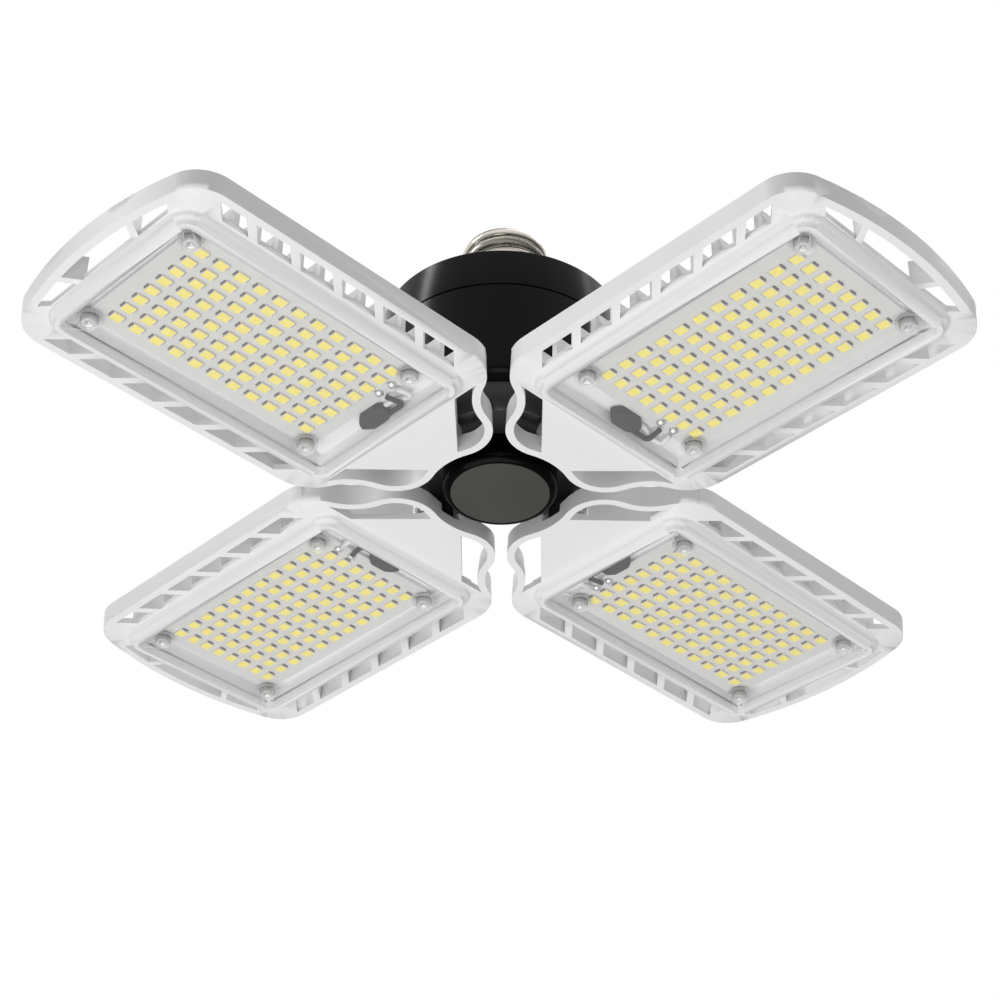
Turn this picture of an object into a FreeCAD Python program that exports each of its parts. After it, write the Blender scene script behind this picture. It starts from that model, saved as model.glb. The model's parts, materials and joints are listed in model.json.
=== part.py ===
"""Screw-in garage light: a round driver hub and four LED panels on friction hinges.

Millimetres, +Z up. The lamp hangs from a ceiling socket by its screw base. Its origin is the
flat tip of the centre contact, so the whole lamp lies below it. Heights in the values below
are measured from the plane of the LED windows when the panels are level, and export() lowers
everything by TIP_HEIGHT. A panel is drawn lying along +X, then turned to its azimuth.
"""
import FreeCAD, Part
import math
import os

from FreeCAD import Placement, Rotation, Vector

os.makedirs("parts", exist_ok=True)

# ---------------------------------------------------------------- driving dimensions
PANEL_AZIMUTHS = (45.0, 135.0, 225.0, 315.0)
TIP_HEIGHT = 97.8               # LED plane to the tip of the centre contact

# Panel outline, seen from below
TIP_RADIUS = 146.3              # lamp axis to the middle of the bowed outer end
END_BOW_RADIUS = 118.0
HALF_WIDTH = 39.1
OUTER_CORNER_RADIUS = 10.5
INNER_CORNER_RADIUS = 13.0
INNER_CORNER_X = 48.8           # centre of the rounded inner corner
HUB_SWEEP_RADIUS = 20.8         # hollow of the inner end, round the lamp axis
LOBE_RADIUS = 12.2              # round shoulder beside that hollow
LOBE_ANGLE = 20.06              # direction of the shoulder's centre from the lamp axis
WAIST_RADIUS = 15.5             # hollow between shoulder and inner corner

# Panel casting
FACE_Z = -0.6
PLATE = 1.8
WALL = 2.3
SKIRT_DEPTH = 6.0               # rim wall, from the face to its rear edge
SKIRT_FLARE = 0.35              # how much the rim wall leans outwards
CRADLE_DEPTH = 7.3              # the thin walls round the hub are deeper
CRADLE_TAPER = (0.3, 0.5)       # how far their outer and inner sides draw together at the rear
CRADLE_END_X = 43.0
REAR_Z = 7.4                    # rear edges of ribs and fins

# Lens window, tray and bead
LENS_X0, LENS_X1 = 44.8, 133.6
LENS_HALF_Y = 26.3
LENS_CORNER = 1.6
LENS_FRONT_Z = -3.2
LENS_THICKNESS = 1.8
LENS_GAP = 0.25
LEDGE = 0.9
TRAY_FLOOR_Z = 1.95
TRAY_FLOOR = 2.0
TRAY_WALL = 2.0
BEAD_STEPS = (                  # (width beyond the lens, height below the face) of each edge
    (4.4, 0.0, 3.7, 1.5),
    (3.0, 1.5, 2.2, 3.0),
)

# Side vents and fins
VENT_COUNT = 6
VENT_X0 = 48.4                  # inner corner of the first vent, on its lens side
VENT_PITCH = 14.1
VENT_LENGTH = 11.1
LAST_VENT_LENGTH = 8.3
VENT_NEAR_Y = 31.8
VENT_LEAN = 4.8                 # how far the slanted bars run outwards across the vent
FIN_COUNT = 13
FIN_X0 = 45.9
FIN_PITCH = 7.0
FIN = 1.6

# Outer end cut-outs
END_SLOT_X = 138.5
END_RIM = 2.4
END_RIB_Y = (11.2, 15.45)       # rib's middle at its inner and outer end
END_RIB = 1.9
END_SLOT_Y = (24.5, 27.6)       # far end of the short slots, inner and outer edge

# Web between the two openings beside the hub; a wall stands behind each of its edges
WEB_TIP = (22.5, 6.0)           # (x, half width) at its narrow end
WEB_ROOT = (39.1, 22.2)
WEB_WALL = 1.8
WEB_WALL_END_X = 43.4
HINGE_BAY = (22.0, 29.4, 9.6)   # room in that wall for the hinge screw's head and nut: x, x, y

# LED board
BOARD_X0 = 51.8
BOARD_MID_Y = 1.0
BOARD_LENGTH, BOARD_WIDTH, BOARD_THICKNESS = 78.0, 47.0, 1.2
CHIP_HEIGHT = 0.75
CHIP_LENGTH, CHIP_WIDTH = 3.5, 2.8
CHIP_COLUMNS, CHIP_ROWS = 11, 8
CHIP_PITCH_X, CHIP_PITCH_Y = 6.48, 5.0
CHIP_X0 = 58.3
CHIP_MID_Y = 0.75
SCREW_XS = (54.7, 128.5)
SCREW_Y = 21.2
NOTCH_RADIUS = 2.4
BOSS_RADIUS, BOSS_DEPTH_Z = 3.5, -0.35
STEM_RADIUS = 2.1
LENS_SCREW_RADIUS = 1.25
LENS_SCREW_HEAD_RADIUS = 2.2
LENS_SCREW_HEAD = 1.5
LENS_SCREW_TIP_Z = 6.6

# Leads on the panel
PAD_X = 54.2
PAD_YS = (8.5, 13.6)
LEAD_RADIUS = 0.75
LEAD_HOLE_X, LEAD_HOLE_Y = 47.7, -0.5
LEAD_HOLE_REACH = 4.1           # centre to corner of the diamond-shaped hole
LEAD_ENTRY = ((47.2, -1.4), (49.1, 0.8))    # black and white lead in that hole
LEAD_BLACK_Z, LEAD_WHITE_Z = -0.45, 1.12
SLEEVE_FRONT_Z = -1.32
SLEEVE_OUTLINE = (              # the shrunk sleeve that holds both leads, as (x, y)
    (45.8, -2.6), (48.2, -5.2), (51.6, -2.4), (51.6, 3.4), (49.6, 5.4), (47.6, 5.4), (45.8, 3.0),
)
LEAD_BACK_Z = 3.8
LEAD_CHANNEL = (41.8, 51.8, -2.6, 2.0, 2.8)
LEAD_END_X = 30.6
LEAD_BEND = 1.1

# Friction hinge
HINGE_X = 25.6
HINGE_Z = 5.2
HINGE_ROOM_Z = 2.9              # the hub's ear passes the wall of the hollow above this height
FOLD_RELIEF = ((17.0, 4.6), (26.5, 6.7))    # (x, z) ends of the sloped top of the thin walls
PIN_RADIUS = 1.5
LUG_BORE_RADIUS = 1.55
LUG_RADIUS = 3.1
LUG_INNER_Y, LUG_OUTER_Y = 3.6, 5.6
EAR_HALF_WIDTH = 3.0
EAR_RADIUS = 3.0
EAR_TOP_Z = 11.5
WASHER = 0.5
WASHER_RADIUS = 2.9

# Hub
COLLAR_BOTTOM_Z, COLLAR_TOP_Z = 9.0, 16.3
COLLAR_BOTTOM_RADIUS, COLLAR_TOP_RADIUS = 27.0, 31.0
COLLAR_WALL = 2.4
HOUSING_RADIUS = 36.0
HOUSING_EDGE = 2.2
HOUSING_WALL = 2.2
HOUSING_FLOOR = 2.4
SEAM_Z = 48.0
SEAM_GROOVE = 0.5
HOUSING_RIM_Z = 60.9
HOUSING_RIM_EDGE = 0.4
SHOULDER_Z = 61.8
NECK_RADIUS = 15.2
NECK_TOP_Z = 71.0
NECK_PLUG = 8.0                 # how far the neck reaches up inside the screw shell
CAP_RADIUS = 16.4
CAP_FRONT_Z = -0.1
CAP_DISC_RADIUS = 14.2
CAP_DISC = 1.2
CAP_WALL = 1.8
CAP_EDGE = 2.0

# Screw base, E26/E27
THREAD_CREST_RADIUS = 13.1
THREAD_ROOT_RADIUS = 12.0
THREAD_PITCH = 3.62
THREAD_TURNS = 5
SHELL_WALL = 0.35
SHELL_TOP_Z = 93.2
SHELL_TOP_RADIUS = 11.0
INSULATOR_TOP_Z = 96.4
INSULATOR_TOP_RADIUS = 6.0
CONTACT_RADIUS = 4.6
CONTACT_FLAT_RADIUS = 3.4

# Driver
DRIVER_BOARD_Z = 27.0
DRIVER_BOARD_RADIUS = 30.0
DRIVER_BOARD = 1.6
FEED_X, FEED_Z = 23.0, 13.0     # where the panel leads rise to the driver, and their way in


# ---------------------------------------------------------------- helpers
def box(x0, x1, y0, y1, z0, z1):
    return Part.makeBox(x1 - x0, y1 - y0, z1 - z0, Vector(x0, y0, z0))


def rod(radius, x, y, z0, z1):
    return Part.makeCylinder(radius, z1 - z0, Vector(x, y, z0))


def rod_y(radius, x, z, y0, y1):
    return Part.makeCylinder(radius, y1 - y0, Vector(x, y0, z), Vector(0, 1, 0))


def polygon(points, z0, z1):
    """Prism of a flat outline given as (x, y) points."""
    corners = [Vector(x, y, z0) for x, y in points]
    face = Part.Face(Part.makePolygon(corners + corners[:1]))
    return face.extrude(Vector(0, 0, z1 - z0))


def profile(points):
    """Solid of revolution about the lamp axis from (radius, z) points."""
    corners = [Vector(r, 0, z) for r, z in points]
    face = Part.Face(Part.makePolygon(corners + corners[:1]))
    return face.revolve(Vector(0, 0, 0), Vector(0, 0, 1), 360)


def rounded_rect(x0, x1, half_y, corner, z):
    """Closed wire of a rounded rectangle, symmetric about y = 0."""
    k = corner * (1 - math.sqrt(0.5))
    arcs = []
    ends = []
    for sx, sy in ((1, 1), (-1, 1), (-1, -1), (1, -1)):
        x, y = (x1 if sx > 0 else x0), sy * half_y
        on_side = Vector(x, y - sy * corner, z)
        on_end = Vector(x - sx * corner, y, z)
        middle = Vector(x - sx * k, y - sy * k, z)
        first, last = (on_side, on_end) if sx * sy > 0 else (on_end, on_side)
        arcs.append(Part.Arc(first, middle, last).toShape())
        ends.append((first, last))
    edges = []
    for i, arc in enumerate(arcs):
        edges.append(arc)
        edges.append(Part.LineSegment(ends[i][1], ends[(i + 1) % 4][0]).toShape())
    return Part.Wire(edges)


def rounded_box(x0, x1, half_y, corner, z0, z1):
    return Part.Face(rounded_rect(x0, x1, half_y, corner, z0)).extrude(Vector(0, 0, z1 - z0))


def lens_box(grow, z0, z1):
    """Prism of the lens outline, grown all round."""
    corner = max(LENS_CORNER + grow, 0.6)
    return rounded_box(LENS_X0 - grow, LENS_X1 + grow, LENS_HALF_Y + grow, corner, z0, z1)


def mirrored(shape):
    """The shape's mirror image across the panel's middle line."""
    return shape.mirror(Vector(0, 0, 0), Vector(0, 1, 0))


def tube(points, radius, bend):
    """Round lead along straight runs joined by tangent arcs of radius bend."""
    nodes = [Vector(*p) for p in points]
    edges = []
    start = nodes[0]
    for before, corner, after in zip(nodes, nodes[1:], nodes[2:]):
        to_before = (before - corner).normalize()
        to_after = (after - corner).normalize()
        half_turn = (math.pi - to_before.getAngle(to_after)) / 2
        cut = bend * math.tan(half_turn)
        middle = (to_before + to_after).normalize() * (bend / math.cos(half_turn) - bend)
        arc_in = corner + to_before * cut
        arc_out = corner + to_after * cut
        edges.append(Part.LineSegment(start, arc_in).toShape())
        edges.append(Part.Arc(arc_in, corner + middle, arc_out).toShape())
        start = arc_out
    edges.append(Part.LineSegment(start, nodes[-1]).toShape())
    section = Part.Wire(Part.Circle(nodes[0], nodes[1] - nodes[0], radius).toShape())
    return Part.Wire(edges).makePipeShell([section], True, False)


def group(solids):
    return Part.makeCompound(solids)


def solid_of(shape):
    """The one solid of a boolean result, with coplanar faces merged."""
    shape = shape.removeSplitter()
    if len(shape.Solids) != 1:
        print("expected one solid, got", len(shape.Solids))
    return shape.Solids[0]


# ---------------------------------------------------------------- panel outline
def unit(from_point, to_point):
    return (to_point - from_point).normalize()


def tangent_circle(center_a, radius_a, center_b, radius_b, radius):
    """Centre of the circle that touches two others from outside, on the far side of their line."""
    span = center_b - center_a
    reach_a, reach_b = radius_a + radius, radius_b + radius
    along = (reach_a ** 2 - reach_b ** 2 + span.Length ** 2) / (2 * span.Length)
    aside = math.sqrt(reach_a ** 2 - along ** 2)
    direction = Vector(span).normalize()
    return center_a + direction * along + Vector(direction.y, -direction.x, 0) * aside


def arc_about(center, radius, from_point, to_point):
    middle = unit(center, (from_point + to_point) * 0.5)
    return Part.Arc(from_point, center + middle * radius, to_point).toShape()


def panel_outline(inset, z):
    """Closed wire of the panel's outline, drawn inset from the outer edge."""
    lobe_reach = HUB_SWEEP_RADIUS + LOBE_RADIUS
    angle = math.radians(LOBE_ANGLE)
    lobe = Vector(lobe_reach * math.cos(angle), -lobe_reach * math.sin(angle), 0)
    corner = Vector(INNER_CORNER_X, -(HALF_WIDTH - INNER_CORNER_RADIUS), 0)
    waist = tangent_circle(lobe, LOBE_RADIUS, corner, INNER_CORNER_RADIUS, WAIST_RADIUS)
    axis = Vector(0, 0, 0)
    bow = Vector(TIP_RADIUS - END_BOW_RADIUS, 0, 0)
    outer_y = HALF_WIDTH - OUTER_CORNER_RADIUS
    outer_reach = END_BOW_RADIUS - OUTER_CORNER_RADIUS
    outer = Vector(bow.x + math.sqrt(outer_reach ** 2 - outer_y ** 2), -outer_y, 0)

    lobe_radius = LOBE_RADIUS - inset
    waist_radius = WAIST_RADIUS + inset
    corner_radius = INNER_CORNER_RADIUS - inset
    outer_radius = OUTER_CORNER_RADIUS - inset
    sweep_end = lobe + unit(lobe, axis) * lobe_radius
    lobe_end = lobe + unit(lobe, waist) * lobe_radius
    waist_end = corner + unit(corner, waist) * corner_radius
    side_start = corner + Vector(0, -corner_radius, 0)
    side_end = outer + Vector(0, -outer_radius, 0)
    bow_start = outer + unit(bow, outer) * outer_radius

    def flip(p):
        return Vector(p.x, -p.y, p.z)

    half = [
        arc_about(lobe, lobe_radius, sweep_end, lobe_end),
        arc_about(waist, waist_radius, lobe_end, waist_end),
        arc_about(corner, corner_radius, waist_end, side_start),
        Part.LineSegment(side_start, side_end).toShape(),
        arc_about(outer, outer_radius, side_end, bow_start),
    ]
    other = [edge.mirror(Vector(0, 0, 0), Vector(0, 1, 0)) for edge in half]
    sweep_radius = HUB_SWEEP_RADIUS + inset
    sweep = Part.Arc(flip(sweep_end), Vector(sweep_radius, 0, 0), sweep_end).toShape()
    tip = Vector(TIP_RADIUS - inset, 0, 0)
    end = Part.Arc(bow_start, tip, flip(bow_start)).toShape()
    wire = Part.Wire(Part.__sortEdges__([sweep, end] + half + other))
    wire.translate(Vector(0, 0, z))
    return wire


def outline_prism(inset, z0, z1):
    return Part.Face(panel_outline(inset, z0)).extrude(Vector(0, 0, z1 - z0))


def rim_body(inset, z0, z1, flare):
    """The outline from the face back, leaning outwards by flare at its rear edge."""
    return Part.makeLoft([panel_outline(inset, z0), panel_outline(inset - flare, z1)], True, True)


# ---------------------------------------------------------------- panel casting
def vent_lengths():
    return [VENT_LENGTH] * (VENT_COUNT - 1) + [LAST_VENT_LENGTH]


def side_vents(z0, z1):
    """The slanted side vents at -y, as cutting prisms."""
    far_y = HALF_WIDTH - WALL
    cutters = []
    for i, length in enumerate(vent_lengths()):
        x = VENT_X0 + i * VENT_PITCH
        cutters.append(polygon([(x, -VENT_NEAR_Y), (x + length, -VENT_NEAR_Y),
                                (x + length + VENT_LEAN, -far_y), (x + VENT_LEAN, -far_y)], z0, z1))
    return cutters


def side_bars(z0, z1):
    """Deep bars between the side vents at -y."""
    far_y = HALF_WIDTH - WALL
    bars = []
    for i, length in enumerate(vent_lengths()[:-1]):
        x0 = VENT_X0 + i * VENT_PITCH + length
        x1 = VENT_X0 + (i + 1) * VENT_PITCH
        bars.append(polygon([(x0, -VENT_NEAR_Y), (x1, -VENT_NEAR_Y),
                             (x1 + VENT_LEAN, -far_y - 0.2), (x0 + VENT_LEAN, -far_y - 0.2)], z0, z1))
    return bars


def end_rib(z0, z1):
    """Slanted rib across the outer slots at -y."""
    y0, y1 = END_RIB_Y
    x1 = TIP_RADIUS - END_RIM + 0.3
    half = END_RIB / 2 * math.hypot(x1 - END_SLOT_X, y1 - y0) / (x1 - END_SLOT_X)
    return polygon([(END_SLOT_X - 0.6, -y0 + half), (END_SLOT_X - 0.6, -y0 - half),
                    (x1, -y1 - half), (x1, -y1 + half)], z0, z1)


def end_slots(z0, z1):
    """The row of cut-outs at the outer end: one long, two short, split by the ribs."""
    inner_y, outer_y = END_SLOT_Y
    x1 = TIP_RADIUS
    reach = (x1 - END_SLOT_X) / 2.6
    far = inner_y + (outer_y - inner_y) * reach
    slots = polygon([(END_SLOT_X, -inner_y), (x1, -far), (x1, far), (END_SLOT_X, inner_y)], z0, z1)
    bow = Part.makeCylinder(END_BOW_RADIUS - END_RIM, z1 - z0, Vector(TIP_RADIUS - END_BOW_RADIUS, 0, z0))
    rib = end_rib(z0 - 1, z1 + 1)
    return slots.common(bow).cut(rib).cut(mirrored(rib))


def web_openings(z0, z1):
    """The opening at -y between the web and the thin wall round the hub."""
    x0 = WEB_TIP[0] - 4
    wedge = polygon([(x0, -web_half_width(x0)), (WEB_ROOT[0], -WEB_ROOT[1]),
                     (WEB_ROOT[0], -HALF_WIDTH), (x0, -HALF_WIDTH)], z0, z1)
    return outline_prism(WALL, z0, z1).common(wedge)


def web_half_width(x):
    """Half width of the web at x, along the straight edge from its tip to its root."""
    (x0, y0), (x1, y1) = WEB_TIP, WEB_ROOT
    return y0 + (y1 - y0) * (x - x0) / (x1 - x0)


def web_walls():
    """Walls behind the web's two straight edges, open where the hinge screw's ends turn."""
    z0, z1 = FACE_Z + PLATE - 0.3, FACE_Z + CRADLE_DEPTH
    (tip_x, tip_y), (root_x, root_y) = WEB_TIP, WEB_ROOT
    across = WEB_WALL * math.hypot(root_x - tip_x, root_y - tip_y) / (root_x - tip_x)
    x0, x1 = tip_x - 0.8, WEB_WALL_END_X
    y0, y1 = web_half_width(x0), web_half_width(x1)
    wall = polygon([(x0, -y0), (x1, -y1), (x1, -y1 + across), (x0, -y0 + across)], z0, z1)
    bay_x0, bay_x1, bay_y = HINGE_BAY
    bay = box(bay_x0 - 2, bay_x1, -bay_y, -LUG_OUTER_Y + 0.1, HINGE_Z, z1 + 1)
    round_bay = rod_y((bay_x1 - bay_x0) / 2, HINGE_X, HINGE_Z, -bay_y, -LUG_OUTER_Y + 0.1)
    wall = wall.cut(bay.fuse(round_bay))
    return [wall, mirrored(wall)]


def fins():
    """Cooling fins across the back of the tray."""
    top = TRAY_FLOOR_Z + TRAY_FLOOR - 0.3
    blades = []
    for i in range(FIN_COUNT):
        x = FIN_X0 + i * FIN_PITCH
        blade = box(x - FIN / 2, x + FIN / 2, -VENT_NEAR_Y, VENT_NEAR_Y, FACE_Z + PLATE - 0.3, REAR_Z)
        blades.append(blade.cut(lens_box(TRAY_WALL - 0.3, FACE_Z, top)))
    return blades


def bead():
    """Two soft steps that frame the lens window."""
    rings = []
    for low_width, low, high_width, high in BEAD_STEPS:
        low_z = FACE_Z - low + (0.4 if low == 0.0 else 0.2)
        rings.append(Part.makeLoft([
            rounded_rect(LENS_X0 - low_width, LENS_X1 + low_width, LENS_HALF_Y + low_width,
                         LENS_CORNER + low_width, low_z),
            rounded_rect(LENS_X0 - high_width, LENS_X1 + high_width, LENS_HALF_Y + high_width,
                         LENS_CORNER + high_width, FACE_Z - high)], True, True))
    return rings


def hinge_lug():
    """Ear of the casting at -y that holds the hinge screw."""
    root_z = FACE_Z + PLATE - 0.4
    lug = rod_y(LUG_RADIUS, HINGE_X, HINGE_Z, -LUG_OUTER_Y, -LUG_INNER_Y)
    foot = polygon([(HINGE_X - LUG_RADIUS + 0.9, -LUG_OUTER_Y), (HINGE_X + LUG_RADIUS + 3, -LUG_OUTER_Y),
                    (HINGE_X + LUG_RADIUS + 3, -LUG_INNER_Y), (HINGE_X - LUG_RADIUS + 0.9, -LUG_INNER_Y)],
                   root_z, HINGE_Z - 1.4)
    neck = box(HINGE_X - LUG_RADIUS, HINGE_X + LUG_RADIUS, -LUG_OUTER_Y, -LUG_INNER_Y, HINGE_Z - 1.5, HINGE_Z)
    return lug.fuse(foot).fuse(neck)


def lead_hole(z0, z1):
    """Diamond-shaped hole for the leads in the tray floor."""
    x, y, reach = LEAD_HOLE_X, LEAD_HOLE_Y, LEAD_HOLE_REACH
    return polygon([(x + reach, y), (x, y + reach), (x - reach, y), (x, y - reach)], z0, z1).common(
        box(LENS_X0 + LEDGE, BOARD_X0, y - reach, y + reach, z0, z1))


def panel_frame():
    """One-piece casting: face, rim wall, bead, tray, bars, fins and hinge ears."""
    plate_back = FACE_Z + PLATE
    floor_back = TRAY_FLOOR_Z + TRAY_FLOOR
    skirt_back = FACE_Z + SKIRT_DEPTH
    cradle_back = FACE_Z + CRADLE_DEPTH

    rim = rim_body(0, FACE_Z, skirt_back, SKIRT_FLARE)
    rim = rim.cut(outline_prism(WALL, plate_back, skirt_back + 1))
    near_hub = box(0, CRADLE_END_X, -60, 60, FACE_Z - 1, cradle_back + 1)
    rim = rim.cut(near_hub)
    outside, inside = CRADLE_TAPER
    cradle = rim_body(0, FACE_Z, cradle_back, -outside)
    cradle = cradle.cut(rim_body(WALL, plate_back, cradle_back, inside)).common(near_hub)
    cradle = cradle.fuse(web_walls())
    cradle = cradle.cut(box(0, 30, -LUG_INNER_Y, LUG_INNER_Y, HINGE_ROOM_Z, cradle_back + 1))
    (x0, low), (x1, high) = FOLD_RELIEF
    relief = polygon([(x0, low), (x1, high), (x1, 20), (x0, 20)], -60, 60)
    relief.rotate(Vector(0, 0, 0), Vector(1, 0, 0), 90)
    cradle = cradle.cut(relief)

    frame = rim.fuse([cradle] + bead() + [lens_box(TRAY_WALL, plate_back - 0.4, floor_back)])
    for cutter in side_vents(FACE_Z - 1, skirt_back + 2):
        inside = cutter.common(outline_prism(WALL, FACE_Z - 1, skirt_back + 2))
        frame = frame.cut(inside).cut(mirrored(inside))
    openings = web_openings(FACE_Z - 1, cradle_back + 1)
    frame = frame.cut(openings).cut(mirrored(openings)).cut(end_slots(FACE_Z - 1, REAR_Z + 1))

    ribs = side_bars(FACE_Z, REAR_Z) + [end_rib(FACE_Z, REAR_Z)]
    lug = hinge_lug()
    extras = ribs + [mirrored(rib) for rib in ribs] + fins() + [lug, mirrored(lug)]
    frame = frame.fuse(extras)

    frame = frame.cut(lens_box(LENS_GAP, FACE_Z - 10, LENS_FRONT_Z + LENS_THICKNESS))
    frame = frame.cut(lens_box(-LEDGE, LENS_FRONT_Z, TRAY_FLOOR_Z))
    for x in SCREW_XS:
        for y in (-SCREW_Y, SCREW_Y):
            frame = frame.fuse(rod(LENS_SCREW_RADIUS + 1.6, x, y, floor_back - 0.3, REAR_Z))
            frame = frame.cut(rod(LENS_SCREW_RADIUS, x, y, TRAY_FLOOR_Z - 1, LENS_SCREW_TIP_Z))
    x0, x1, y0, y1, z0 = LEAD_CHANNEL
    frame = frame.cut(box(x0, x1, y0, y1, z0, REAR_Z + 1)).cut(lead_hole(TRAY_FLOOR_Z - 1, REAR_Z + 1))
    frame = frame.cut(rod_y(LUG_BORE_RADIUS, HINGE_X, HINGE_Z, -LUG_OUTER_Y - 1, LUG_OUTER_Y + 1))
    return solid_of(frame)


# ---------------------------------------------------------------- pieces in the panel
def led_board():
    z0, z1 = CHIP_HEIGHT, CHIP_HEIGHT + BOARD_THICKNESS
    x0, x1 = BOARD_X0, BOARD_X0 + BOARD_LENGTH
    y0, y1 = BOARD_MID_Y - BOARD_WIDTH / 2, BOARD_MID_Y + BOARD_WIDTH / 2
    board = box(x0, x1, y0, y1, z0, z1)
    for x in SCREW_XS:
        for y in (-SCREW_Y, SCREW_Y):
            board = board.cut(rod(NOTCH_RADIUS, x, y, z0 - 1, z1 + 1))
    for x in (x0, x1):
        for y in (y0, y1):
            board = board.cut(box(x - 3, x + 3, y - 2.6, y + 2.6, z0 - 1, z1 + 1))
    return max(board.Solids, key=lambda s: s.Volume)


def led_chips():
    chips = []
    for column in range(CHIP_COLUMNS):
        for row in range(CHIP_ROWS):
            x = CHIP_X0 + column * CHIP_PITCH_X
            y = CHIP_MID_Y + (row - (CHIP_ROWS - 1) / 2) * CHIP_PITCH_Y
            chips.append(box(x - CHIP_LENGTH / 2, x + CHIP_LENGTH / 2,
                             y - CHIP_WIDTH / 2, y + CHIP_WIDTH / 2, 0, CHIP_HEIGHT))
    return group(chips)


def lens():
    """Clear plate with a hollow screw boss at each corner."""
    back = LENS_FRONT_Z + LENS_THICKNESS
    plate = lens_box(0, LENS_FRONT_Z, back)
    for x in SCREW_XS:
        for y in (-SCREW_Y, SCREW_Y):
            plate = plate.fuse(rod(BOSS_RADIUS, x, y, back - 0.5, BOSS_DEPTH_Z))
            plate = plate.fuse(rod(STEM_RADIUS, x, y, BOSS_DEPTH_Z - 0.3, TRAY_FLOOR_Z))
            plate = plate.cut(rod(LENS_SCREW_HEAD_RADIUS + 0.2, x, y, LENS_FRONT_Z - 1, -1.0))
            plate = plate.cut(rod(LENS_SCREW_RADIUS + 0.2, x, y, LENS_FRONT_Z - 1, TRAY_FLOOR_Z + 1))
    return solid_of(plate)


def lens_screws():
    """Four pan-head screws with a cross recess."""
    screws = []
    head_back = -1.0
    for x in SCREW_XS:
        for y in (-SCREW_Y, SCREW_Y):
            head = rod(LENS_SCREW_HEAD_RADIUS, x, y, head_back - LENS_SCREW_HEAD, head_back)
            rim = [e for e in head.Edges if abs(e.BoundBox.ZMax - head.BoundBox.ZMin) < 1e-4]
            head = head.makeFillet(0.7, rim)
            shank = rod(LENS_SCREW_RADIUS, x, y, head_back - 0.1, LENS_SCREW_TIP_Z - 0.3)
            screw = head.fuse(shank)
            for wide, long in ((0.5, 2.2), (2.2, 0.5)):
                screw = screw.cut(box(x - wide / 2, x + wide / 2, y - long / 2, y + long / 2,
                                      head_back - LENS_SCREW_HEAD - 1, head_back - LENS_SCREW_HEAD + 0.7))
            screws.append(solid_of(screw))
    return group(screws)


def solder_joints():
    joints = []
    for y in PAD_YS:
        ball = Part.makeSphere(1.45, Vector(PAD_X, y, CHIP_HEIGHT + 0.3))
        joints.append(ball.common(box(PAD_X - 2, PAD_X + 2, y - 2, y + 2, CHIP_HEIGHT - 2, CHIP_HEIGHT)))
    return group(joints)


def lead_wires():
    """Black and white lead, soldered to the board, through the tray floor and along the back."""
    pad_black, pad_white = PAD_YS
    (black_x, black_y), (white_x, white_y) = LEAD_ENTRY
    end_z = COLLAR_BOTTOM_Z - 0.6
    start_x = PAD_X - 1.55
    z = LEAD_BLACK_Z
    black = tube([(start_x, pad_black + 1.2, z), (black_x, pad_black + 2.2, z), (black_x, black_y, z),
                  (black_x, black_y, LEAD_BACK_Z), (LEAD_END_X, black_y, LEAD_BACK_Z),
                  (LEAD_END_X, black_y, end_z)], LEAD_RADIUS, LEAD_BEND)
    low, high = LEAD_WHITE_Z, CHIP_HEIGHT - LEAD_RADIUS - 0.05
    white = tube([(start_x, pad_white + 0.3, high), (48.5, pad_white + 1.2, high), (47.2, 12.2, low),
                  (white_x, 7.6, low), (white_x, white_y, low), (white_x, white_y, LEAD_BACK_Z),
                  (LEAD_END_X, white_y, LEAD_BACK_Z), (LEAD_END_X, white_y, end_z)], LEAD_RADIUS, LEAD_BEND)
    return black, white


def lead_sleeve():
    """Shrunk black sleeve over both leads, and its plug in the hole of the tray floor."""
    sleeve = polygon(SLEEVE_OUTLINE, SLEEVE_FRONT_Z, TRAY_FLOOR_Z)
    sleeve = sleeve.makeFillet(0.6, [e for e in sleeve.Edges if e.BoundBox.ZLength > TRAY_FLOOR_Z])
    sleeve = sleeve.fuse(lead_hole(TRAY_FLOOR_Z - 0.5, LEAD_CHANNEL[4]))
    for wire in lead_wires():
        sleeve = sleeve.cut(wire)
    return solid_of(sleeve)


def hinge_screw():
    head_y = LUG_OUTER_Y + WASHER
    shank = rod_y(PIN_RADIUS - 0.01, HINGE_X, HINGE_Z, -LUG_OUTER_Y - 3.2, head_y)
    head = rod_y(2.7, HINGE_X, HINGE_Z, head_y, head_y + 1.8)
    slot = box(HINGE_X - 0.4, HINGE_X + 0.4, head_y + 1.0, head_y + 3, HINGE_Z - 3, HINGE_Z + 3)
    return solid_of(head.fuse(shank).cut(slot))


def hinge_nut():
    y0 = -LUG_OUTER_Y - WASHER - 2.2
    corners = [Vector(HINGE_X + 2.9 * math.cos(math.radians(60 * i)), y0,
                      HINGE_Z + 2.9 * math.sin(math.radians(60 * i))) for i in range(6)]
    nut = Part.Face(Part.makePolygon(corners + corners[:1])).extrude(Vector(0, 2.2, 0))
    return solid_of(nut.cut(rod_y(PIN_RADIUS, HINGE_X, HINGE_Z, y0 - 1, y0 + 4)))


def hinge_washers():
    washers = []
    for y0 in (-LUG_OUTER_Y - WASHER, LUG_OUTER_Y):
        ring = rod_y(WASHER_RADIUS, HINGE_X, HINGE_Z, y0, y0 + WASHER)
        washers.append(ring.cut(rod_y(PIN_RADIUS, HINGE_X, HINGE_Z, y0 - 1, y0 + 2)))
    return group(washers)


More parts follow.
